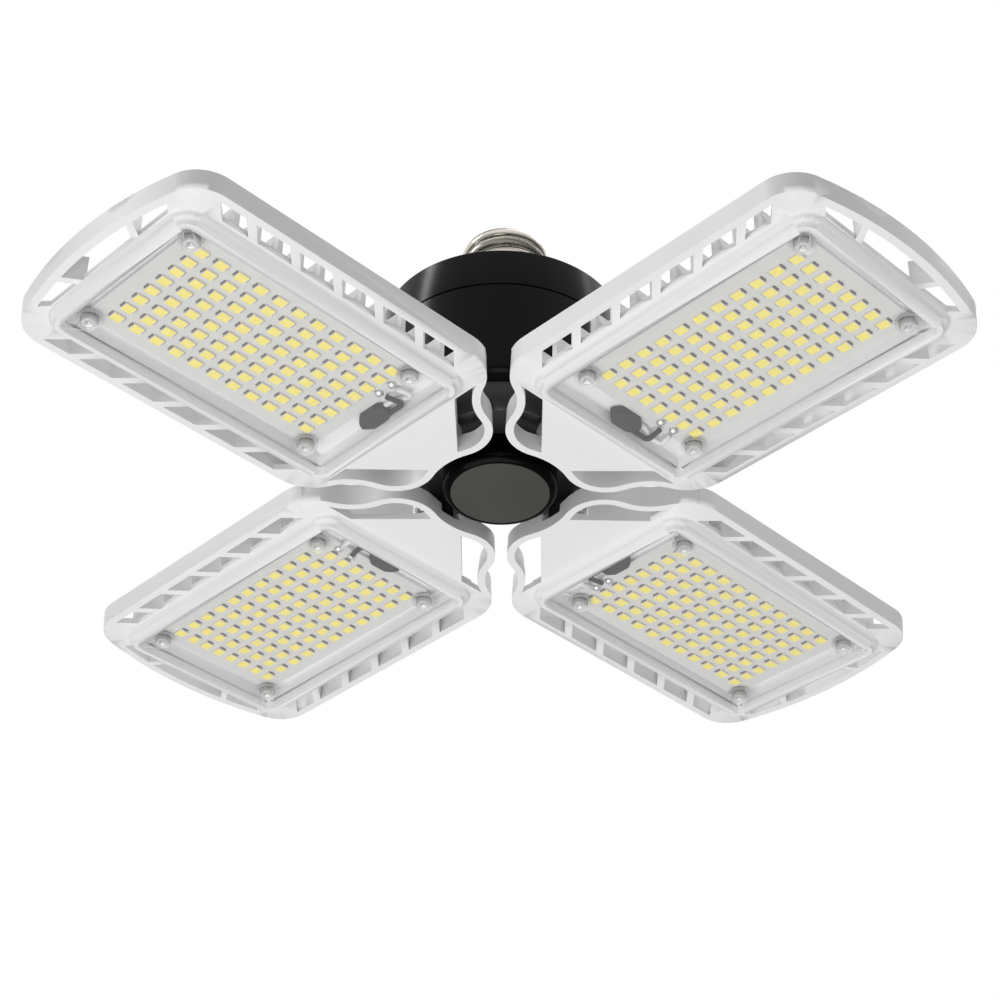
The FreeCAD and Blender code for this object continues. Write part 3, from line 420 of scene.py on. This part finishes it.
def stem_of(node_name: str) -> str:
    """A node's name without its panel number."""
    return node_name[:-2] if node_name[-2:-1] == "_" and node_name[-1].isdigit() else node_name


def body_of(node_name: str) -> str:
    """The body that a node belongs to."""
    bodies = frame["record"]["behaviour"]["bodies"]
    return next(body for body, nodes in bodies.items() if node_name in nodes)


# ------------------------------------------------------------------ sub-assemblies
@dataclass
class LedArray:
    """The LED packages of one panel: white bodies with a yellow window, and terminals painted dark
    as the shade at the package ends.
    """

    columns: int = 11
    rows: int = 8
    pitch: tuple[float, float] = (6.48 * MM, 5.0 * MM)
    first_x: float = 58.3 * MM
    middle_y: float = 0.75 * MM
    body: Point = (3.5 * MM, 2.8 * MM, 0.75 * MM)
    wall: float = 0.2 * MM
    window_depth: float = 0.06 * MM
    # The terminals are sized to carry the painted shade at the package ends.
    terminal: Point = (0.5 * MM, 2.0 * MM, 0.36 * MM)
    terminal_edge: float = 0.3          # bevel as a share of the terminal's thickness
    finishes: tuple[Finish, ...] = (LED_BODY, LED_PHOSPHOR, LED_TERMINAL_PAINTED_SHADE)

    def package(self) -> bpy.types.Object:
        """Model one package with its window facing down.

        Returns:
            The package, centred on the axis, its window at height 0.
        """
        long, wide, deep = self.body
        Bench.clear()
        bpy.ops.mesh.primitive_cube_add(size=1.0, location=(0, 0, deep / 2))
        piece = Bench.named("led_package")
        Bench.edit(piece)
        bpy.ops.mesh.select_all(action="SELECT")
        bpy.ops.transform.resize(value=(long, wide, deep))
        Bench.pick_faces(piece, lambda face: face.normal.z < -FACING)
        bpy.ops.mesh.inset(thickness=self.wall, depth=0.0)
        inwards = (0, 0, self.window_depth)
        bpy.ops.mesh.extrude_region_move(TRANSFORM_OT_translate={"value": inwards})
        bpy.ops.object.mode_set(mode="OBJECT")
        self.take_finishes(piece)
        for face in piece.data.polygons:
            level = abs(face.normal.z) > FACING and abs(face.center.x) < long / 4
            low = face.center.z < deep / 2 and face.area < 0.9 * long * wide
            face.material_index = self.finishes.index(LED_PHOSPHOR if level and low else LED_BODY)
        Bench.settle(piece)
        return Bench.join([piece] + self.terminals(), "led_package")

    def terminals(self) -> list[bpy.types.Object]:
        """Model the solder terminals at both ends of a package, coloured dark as painted shade."""
        long, wide, deep = self.terminal
        ends = []
        for side in (-1, 1):
            Bench.clear()
            x = side * (self.body[0] / 2 + long / 2)
            bpy.ops.mesh.primitive_cube_add(size=1.0, location=(x, 0, self.body[2] - deep / 2))
            end = Bench.named("led_terminal")
            end.scale = (long, wide, deep)
            Bench.settle(end)
            Bench.edit(end, "EDGE")
            bpy.ops.mesh.select_all(action="SELECT")
            bpy.ops.mesh.bevel(offset=deep * self.terminal_edge, segments=1)
            Bench.clear()
            self.take_finishes(end)
            # Dark terminal finish: painted shade at the package end.
            for face in end.data.polygons:
                face.material_index = self.finishes.index(LED_TERMINAL_PAINTED_SHADE)
            ends.append(end)
        return ends

    def take_finishes(self, piece: bpy.types.Object) -> None:
        """Give a piece the package's finishes, in one order, so that joined pieces agree."""
        for finish in self.finishes:
            piece.data.materials.append(finish.build())

    def build(self, number: int, azimuth: float) -> bpy.types.Object:
        """Lay out every package of one panel.

        Args:
            number: The panel's number.
            azimuth: The panel's direction in degrees.

        Returns:
            The finished array.
        """
        package = self.package()
        place = panel_matrix(azimuth)
        copies = []
        for column in range(self.columns):
            for row in range(self.rows):
                x = self.first_x + column * self.pitch[0]
                y = self.middle_y + (row - (self.rows - 1) / 2) * self.pitch[1]
                copies.append(Bench.copy(package, "led", place @ Matrix.Translation((x, y, 0))))
        bpy.data.objects.remove(package)
        array = Bench.join(copies, f"led_array_{number}")
        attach(array, f"panel_{number}")
        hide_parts(f"led_chips_{number}")
        return array


@dataclass
class Hub:
    """The black driver hub: cover, cup, tapered collar with its hinge ears, cap and disc.

    Sizes are in millimetres, and heights are measured from the plane of the LED windows.
    """

    radius: float = 36.0
    wall: float = 2.2
    lower_edge: float = 2.2
    floor: float = 2.4
    seam: float = 48.0
    groove: float = 0.5
    spigot: float = 1.4
    rim: float = 60.9
    rim_edge: float = 0.4
    shoulder: tuple[float, float] = (24.0, 61.8)
    neck: tuple[float, float] = (15.2, 71.0)
    plug: tuple[float, float, float] = (9.4, 11.0, 79.0)
    collar_low: tuple[float, float] = (27.0, 9.0)
    collar_high: tuple[float, float] = (31.0, 16.3)
    collar_edge: float = 0.35
    collar_floor: float = 2.4
    collar_core: float = 17.0
    hinge: tuple[float, float] = (25.6, 5.2)
    ear: tuple[float, float, float] = (3.0, 3.0, 11.5)      # radius, half width, top
    cap_radius: float = 16.4
    cap_front: float = -0.1
    cap_edge: float = 2.0
    cap_wall: float = 1.8
    cap_post: float = 4.2           # round post for the cap's screw, and the screw's hole
    cap_hole: float = 1.8
    fit: float = 0.05               # radial gap round the disc
    disc_radius: float = 14.2
    disc: float = 1.2
    disc_edge: float = 0.15
    ear_edge: float = 0.3
    soft: float = 0.1               # broken edge of a turned corner
    spigot_length: float = 3.0
    bore: float = 3.0               # hole on the axis of cup and collar
    round_sides: int = 128
    ear_sides: int = 64
    smooth_angle: float = 35.0

    def hand_over(self, piece: bpy.types.Object, finish: Finish, node: str) -> bpy.types.Object:
        """Finish a piece of the hub, hang it on the hub's body and hide the node that it stands
        for.

        Args:
            piece: The modelled piece.
            finish: Its surface.
            node: The node it replaces.

        Returns:
            The same piece.
        """
        piece.data.materials.append(finish.build())
        Bench.smooth(piece, self.smooth_angle)
        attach(piece, "hub")
        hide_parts(node)
        return piece

    def cover(self) -> bpy.types.Object:
        """Turn the upper shell with its spigot, shoulder and neck."""
        inside, seam = self.radius - self.wall, self.seam + self.groove / 2
        edge, (shoulder_r, shoulder_z), (neck_r, neck_z) = self.rim_edge, self.shoulder, self.neck
        plug_in, plug_out, plug_top = self.plug
        soft, spigot_end = self.soft, seam - self.spigot_length
        points = [
            (inside - self.spigot, spigot_end), (inside - soft, spigot_end), (inside - soft, seam),
            (self.radius - soft, seam), (self.radius, seam + soft),
            *rounded((self.radius - edge, self.rim - edge), 0, 90, edge, 4),
            (shoulder_r, shoulder_z), (neck_r, shoulder_z + 1.6), (neck_r, neck_z - edge),
            (neck_r - edge, neck_z), (plug_out, neck_z), (plug_out, plug_top), (plug_in, plug_top),
            (plug_in, shoulder_z), (shoulder_r - 0.6, shoulder_z - 1.8),
            (inside - 1.8, self.rim - 2.0), (inside, self.rim - 3.6),
            (inside, seam + self.spigot_length),
            (inside - self.spigot, seam + self.spigot_length)]
        piece = Bench.turned("hub_cover", section(points))
        return self.hand_over(piece, HOUSING_BLACK, "housing_cover")

    def cup(self) -> bpy.types.Object:
        """Turn the lower cup with its rounded lower edge."""
        edge, low = self.lower_edge, self.collar_high[1]
        top, inside = self.seam - self.groove / 2, self.radius - self.wall
        points = [
            (self.bore, low), *rounded((self.radius - edge, low + edge), -90, 0, edge, 10),
            (self.radius, top - self.soft), (self.radius - self.soft, top), (inside, top),
            (inside, low + self.floor), (self.bore, low + self.floor)]
        piece = Bench.turned("hub_cup", section(points))
        return self.hand_over(piece, HOUSING_BLACK, "housing_body")

    def collar(self) -> bpy.types.Object:
        """Turn the tapered collar and join its four hinge ears."""
        (low_r, low_z), (high_r, high_z) = self.collar_low, self.collar_high
        edge, slope = self.collar_edge, (high_r - low_r) / (high_z - low_z)
        points = [
            (self.bore, low_z), (low_r - edge, low_z), (low_r - 0.3 * edge, low_z + 0.3 * edge),
            (low_r + slope * edge, low_z + edge), (high_r - slope * edge, high_z - edge),
            (high_r - 0.5 * edge, high_z - 0.2 * edge), (high_r - edge - self.soft, high_z),
            (high_r - 2.6, high_z), (low_r - 1.6, low_z + self.collar_floor),
            (self.collar_core, low_z + self.collar_floor), (self.collar_core, high_z),
            (self.bore, high_z)]
        turned = Bench.turned("hub_collar", section(points))
        ears = [self.hinge_ear(azimuth) for azimuth in PANEL_AZIMUTHS]
        piece = Bench.join([turned] + ears, "hub_collar")
        return self.hand_over(piece, COLLAR_BLACK, "hinge_hub")

    def hinge_ear(self, azimuth: float) -> bpy.types.Object:
        """Model one ear: a cylinder across the hinge, drawn up into the collar."""
        reach, half, top = (size * MM for size in self.ear)
        x, z = (size * MM for size in self.hinge)
        Bench.clear()
        bpy.ops.mesh.primitive_cylinder_add(vertices=self.ear_sides, radius=reach, depth=2 * half,
                                            location=(x, 0, z), rotation=(math.pi / 2, 0, 0))
        ear = Bench.named("hinge_ear")
        Bench.settle(ear)
        Bench.edit(ear, "VERT")
        Bench.pick_corners(ear, lambda place: place.z > z + 0.01 * MM)
        bpy.ops.transform.translate(value=(0, 0, top - reach - z))
        bpy.ops.mesh.select_mode(type="FACE")
        Bench.pick_faces(ear, lambda face: abs(face.normal.y) > FACING)
        bpy.ops.mesh.bevel(offset=self.ear_edge * MM, segments=2)
        Bench.clear()
        ear.data.transform(panel_matrix(azimuth))
        return ear

    def cap(self) -> bpy.types.Object:
        """Turn the glossy cup that closes the hub, with the seat of its disc."""
        edge, front, top = self.cap_edge, self.cap_front, self.collar_low[1]
        seat, inside = front + self.disc, self.cap_radius - self.cap_wall
        lip, post, hole = self.disc_radius + self.fit, self.cap_post, self.cap_hole
        points = [
            (lip, seat), (lip, front + self.soft), (lip + self.soft, front),
            *rounded((self.cap_radius - edge, front + edge), -90, 0, edge, 12),
            (self.cap_radius, top), (inside, top), (inside, seat + self.cap_wall),
            (post, seat + self.cap_wall), (post, top), (hole, top), (hole, seat)]
        piece = Bench.turned("hub_cap", section(points))
        return self.hand_over(piece, CAP_BLACK, "bottom_cap")

    def cap_disc(self) -> bpy.types.Object:
        """Model the matte disc that is let into the cap, with a softened edge."""
        middle = (self.cap_front + self.disc / 2) * MM - TIP_HEIGHT
        Bench.clear()
        bpy.ops.mesh.primitive_cylinder_add(vertices=self.round_sides, radius=self.disc_radius * MM,
                                            depth=self.disc * MM, location=(0, 0, middle))
        piece = Bench.named("hub_cap_disc")
        Bench.settle(piece)
        Bench.edit(piece)
        Bench.pick_faces(piece, lambda face: face.normal.z < -FACING)
        bpy.ops.mesh.bevel(offset=self.disc_edge * MM, segments=2)
        Bench.clear()
        return self.hand_over(piece, CAP_OLIVE, "cap_disc")

    def build(self) -> list[bpy.types.Object]:
        """Build every piece of the hub that shows."""
        return [self.cover(), self.cup(), self.collar(), self.cap(), self.cap_disc()]


@dataclass
class MergedPieces:
    """Pieces that keep the frame's shape, merged so that their round faces shade smoothly."""

    angles: dict[str, float] = field(default_factory=lambda: {
        "panel_frame": 28.0, "lens": 30.0, "lens_screws": 30.0, "solder_joints": 60.0,
        "lead_black": 60.0, "lead_white": 60.0, "feed_leads": 60.0, "screw_shell": 50.0,
        "base_insulator": 40.0, "centre_contact": 40.0})
    boss_radius: float = 3.6 * MM
    boss_places: tuple[tuple[float, float], ...] = tuple(
        (x * MM, y * MM) for x in (54.7, 128.5) for y in (-21.2, 21.2))
    merge_distance: float = 0.001 * MM

    def merge(self, node_name: str, stem: str) -> bpy.types.Object:
        """Copy a node's mesh, merge it and shade it.

        Args:
            node_name: The node's name.
            stem: The same name without its number.

        Returns:
            The piece that now stands for the node.
        """
        mesh = frame["nodes"][node_name].data.copy()
        piece = bpy.data.objects.new(f"{node_name}_skin", mesh)
        bpy.context.collection.objects.link(piece)
        Bench.edit(piece, "VERT")
        bpy.ops.mesh.select_all(action="SELECT")
        bpy.ops.mesh.remove_doubles(threshold=self.merge_distance)
        Bench.smooth(piece, self.angles[stem])
        Bench.weigh_normals(piece)
        mesh.materials.clear()
        mesh.materials.append(CAD_FINISHES[stem].build())
        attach(piece, body_of(node_name))
        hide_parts(node_name)
        return piece

    def mark_bosses(self, piece: bpy.types.Object, azimuth: float) -> None:
        """Give the faces of a lens's screw bosses their milkier finish."""
        piece.data.materials.append(LENS_BOSS.build())
        back = panel_matrix(azimuth).inverted()
        for face in piece.data.polygons:
            place = back @ face.center
            near = min(math.hypot(place.x - x, place.y - y) for x, y in self.boss_places)
            face.material_index = int(near < self.boss_radius)

    def build(self) -> list[bpy.types.Object]:
        """Merge every node whose stem has an angle."""
        made = []
        for node_name in frame["nodes"]:
            stem = stem_of(node_name)
            if stem not in self.angles:
                continue
            piece = self.merge(node_name, stem)
            if stem == "lens":
                self.mark_bosses(piece, PANEL_AZIMUTHS[int(node_name[-1]) - 1])
            made.append(piece)
        return made


@dataclass
class LeadSleeve:
    """The shrunk sleeve that holds both leads of a panel, as a soft rounded lump."""

    outline: tuple[tuple[float, float], ...] = (
        (45.6, -2.4), (48.0, -5.4), (50.2, -4.2), (51.7, -2.2), (51.7, 3.2), (50.0, 5.5),
        (47.4, 5.6), (45.7, 3.2))
    middle_x: float = 48.6
    reach: float = 5.0
    front: float = -1.34
    back: float = 1.93
    edge: float = 0.7
    levels: int = 2
    smooth_angle: float = 60.0

    def build(self, number: int, azimuth: float) -> bpy.types.Object:
        """Shape a flat disc to the outline, draw it up and round it off.

        Args:
            number: The panel's number.
            azimuth: The panel's direction in degrees.

        Returns:
            The finished sleeve.
        """
        Bench.clear()
        bpy.ops.mesh.primitive_circle_add(vertices=len(self.outline), radius=self.reach * MM,
                                          fill_type="NGON",
                                          location=(self.middle_x * MM, 0, self.front * MM))
        piece = Bench.named(f"lead_sleeve_soft_{number}")
        Bench.settle(piece)
        for corner, (x, y) in zip(piece.data.vertices, self.outline):
            corner.co.x, corner.co.y = x * MM, y * MM
        Bench.edit(piece)
        bpy.ops.mesh.select_all(action="SELECT")
        rise = (0, 0, (self.back - self.front) * MM)
        bpy.ops.mesh.extrude_region_move(TRANSFORM_OT_translate={"value": rise})
        bpy.ops.mesh.select_all(action="SELECT")
        bpy.ops.mesh.normals_make_consistent(inside=False)
        bpy.ops.mesh.bevel(offset=self.edge * MM, segments=2)
        Bench.clear()
        round_off = piece.modifiers.new("round off", "SUBSURF")
        round_off.levels = round_off.render_levels = self.levels
        piece.select_set(True)
        bpy.context.view_layer.objects.active = piece
        bpy.ops.object.modifier_apply(modifier=round_off.name)
        Bench.smooth(piece, self.smooth_angle)
        piece.data.transform(panel_matrix(azimuth))
        piece.data.materials.append(SLEEVE_DARK.build())
        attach(piece, f"panel_{number}")
        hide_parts(f"lead_sleeve_{number}")
        return piece


class CadPieces:
    """The carried-over CAD nodes, which only get their finish."""

    def dress(self) -> None:
        """Give every CAD node its finish."""
        for name, node in frame["nodes"].items():
            finish = CAD_FINISHES.get(stem_of(name))
            if finish is None:
                log.warning("no finish for %s", name)
                continue
            material = finish.build()
            if not node.material_slots:
                node.data.materials.append(material)
            for held in node.material_slots:
                held.material = material
            log.info("CAD node %s is %s", name, finish.name)


# ------------------------------------------------------------------ studio
@dataclass
class Studio:
    """Floor, lights, white background and the photograph's camera."""

    distance: float = 0.660
    azimuth: float = 1.151
    elevation: float = -36.52
    roll: float = 1.074
    rise: float = -1.79 * MM
    focal_share: float = 2.3146     # focal length over the picture's width
    sensor: float = 36.0
    floor_z: float = -1.5
    floor_size: float = 12.0
    key_place: Point = (-0.26, -0.30, -1.25)
    key_power: float = 16.2
    key_size: float = 1.6
    top_place: Point = (0.3, 0.4, 1.0)
    top_power: float = 5.5
    top_size: float = 1.2
    strips: tuple[tuple[float, float], ...] = ((-80.0, 5.6), (92.0, 1.6))       # azimuth, power
    strip_reach: float = 1.1
    strip_rise: float = 0.74
    strip_size: tuple[float, float] = (0.14, 1.0)
    ambient: float = 0.29

    def camera(self) -> None:
        """Place the camera where the photograph was taken."""
        a, e, r = (math.radians(v) for v in (self.azimuth, self.elevation, self.roll))
        back = Vector((math.sin(a) * math.cos(e), -math.cos(a) * math.cos(e), math.sin(e)))
        right = (-back).cross(Vector((0, 0, 1))).normalized()
        up = right.cross(-back).normalized()
        place = back * self.distance + up * self.rise + Vector((0, 0, -TIP_HEIGHT))
        right, up = right * math.cos(r) + up * math.sin(r), up * math.cos(r) - right * math.sin(r)
        lens = bpy.data.cameras.new("photo_camera")
        lens.sensor_width = self.sensor
        lens.lens = self.focal_share * self.sensor
        lens.clip_start = 0.01
        camera = bpy.data.objects.new("photo_camera", lens)
        bpy.context.collection.objects.link(camera)
        turn = Matrix((right, up, back)).transposed()
        camera.matrix_world = Matrix.Translation(place) @ turn.to_4x4()
        bpy.context.scene.camera = camera

    def lamp(self, name: str, place: Point, power: float, width: float, height: float) -> None:
        """Add a soft light that looks at the lamp.

        Args:
            name: The light's name.
            place: Where it stands.
            power: Its power in watts.
            width: Its width.
            height: Its height.
        """
        light = bpy.data.lights.new(name, "AREA")
        light.energy = power
        light.shape = "RECTANGLE"
        light.size, light.size_y = width, height
        holder = bpy.data.objects.new(name, light)
        bpy.context.collection.objects.link(holder)
        holder.location = place
        aim = Vector((0, 0, -TIP_HEIGHT)) - Vector(place)
        holder.rotation_euler = aim.to_track_quat("-Z", "Y").to_euler()

    def world(self) -> None:
        """White where the camera, gloss or glass looks, plain ambient light elsewhere."""
        world = bpy.data.worlds.new("studio")
        bpy.context.scene.world = world
        world.use_nodes = True
        tree = world.node_tree
        tree.nodes.clear()
        output = tree.nodes.new("ShaderNodeOutputWorld")
        mix = tree.nodes.new("ShaderNodeMixShader")
        ambient = tree.nodes.new("ShaderNodeBackground")
        ambient.inputs["Strength"].default_value = self.ambient
        ambient.inputs["Color"].default_value = (1, 1, 1, 1)
        white = tree.nodes.new("ShaderNodeBackground")
        white.inputs["Color"].default_value = (1, 1, 1, 1)
        tree.links.new(self.seen(tree), mix.inputs["Fac"])
        tree.links.new(ambient.outputs[0], mix.inputs[1])
        tree.links.new(white.outputs[0], mix.inputs[2])
        tree.links.new(mix.outputs[0], output.inputs["Surface"])

    @staticmethod
    def seen(tree: bpy.types.NodeTree) -> bpy.types.NodeSocket:
        """Socket that is 1 for camera, glossy and transmission rays."""
        path = tree.nodes.new("ShaderNodeLightPath")
        both = tree.nodes.new("ShaderNodeMath")
        both.operation = "MAXIMUM"
        every = tree.nodes.new("ShaderNodeMath")
        every.operation = "MAXIMUM"
        tree.links.new(path.outputs["Is Camera Ray"], both.inputs[0])
        tree.links.new(path.outputs["Is Glossy Ray"], both.inputs[1])
        tree.links.new(both.outputs[0], every.inputs[0])
        tree.links.new(path.outputs["Is Transmission Ray"], every.inputs[1])
        return every.outputs[0]

    def floor(self) -> None:
        """Lay a plain pale floor under the lamp."""
        Bench.clear()
        bpy.ops.mesh.primitive_grid_add(x_subdivisions=4, y_subdivisions=4, size=self.floor_size,
                                        location=(0, 0, self.floor_z))
        floor = Bench.named("floor")
        floor.data.materials.append(PALE_FLOOR.build())
        Bench.settle(floor)

    def build(self) -> None:
        """Set up the whole studio."""
        self.camera()
        self.world()
        self.lamp("key", self.key_place, self.key_power, self.key_size, self.key_size)
        self.lamp("top", self.top_place, self.top_power, self.top_size, self.top_size)
        for turn, power in self.strips:
            angle, reach = math.radians(turn), self.strip_reach
            place = (reach * math.sin(angle), -reach * math.cos(angle), self.strip_rise)
            self.lamp("strip", place, power, *self.strip_size)
        self.floor()
        bpy.context.scene.view_settings.view_transform = "Standard"


# ------------------------------------------------------------------ the lamp
@dataclass
class GarageLight:
    """The whole lamp: every sub-assembly in the order in which it is dressed."""

    cad: CadPieces = field(default_factory=CadPieces)
    hub: Hub = field(default_factory=Hub)
    merged: MergedPieces = field(default_factory=MergedPieces)
    leds: LedArray = field(default_factory=LedArray)
    sleeve: LeadSleeve = field(default_factory=LeadSleeve)

    def build(self) -> None:
        """Dress the CAD nodes and add the modelled pieces."""
        self.cad.dress()
        pieces = self.hub.build() + self.merged.build()
        for number, azimuth in enumerate(PANEL_AZIMUTHS, start=1):
            pieces += [self.leds.build(number, azimuth), self.sleeve.build(number, azimuth)]
        for piece in pieces:
            log.info("%s has %d faces", piece.name, len(piece.data.polygons))


def main() -> None:
    """Build the lamp and its studio."""
    logging.basicConfig(level=logging.INFO, format="%(message)s")
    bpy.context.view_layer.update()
    GarageLight().build()
    Studio().build()
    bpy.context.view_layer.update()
    Bench.clear()


if __name__ == "__main__":
    main()
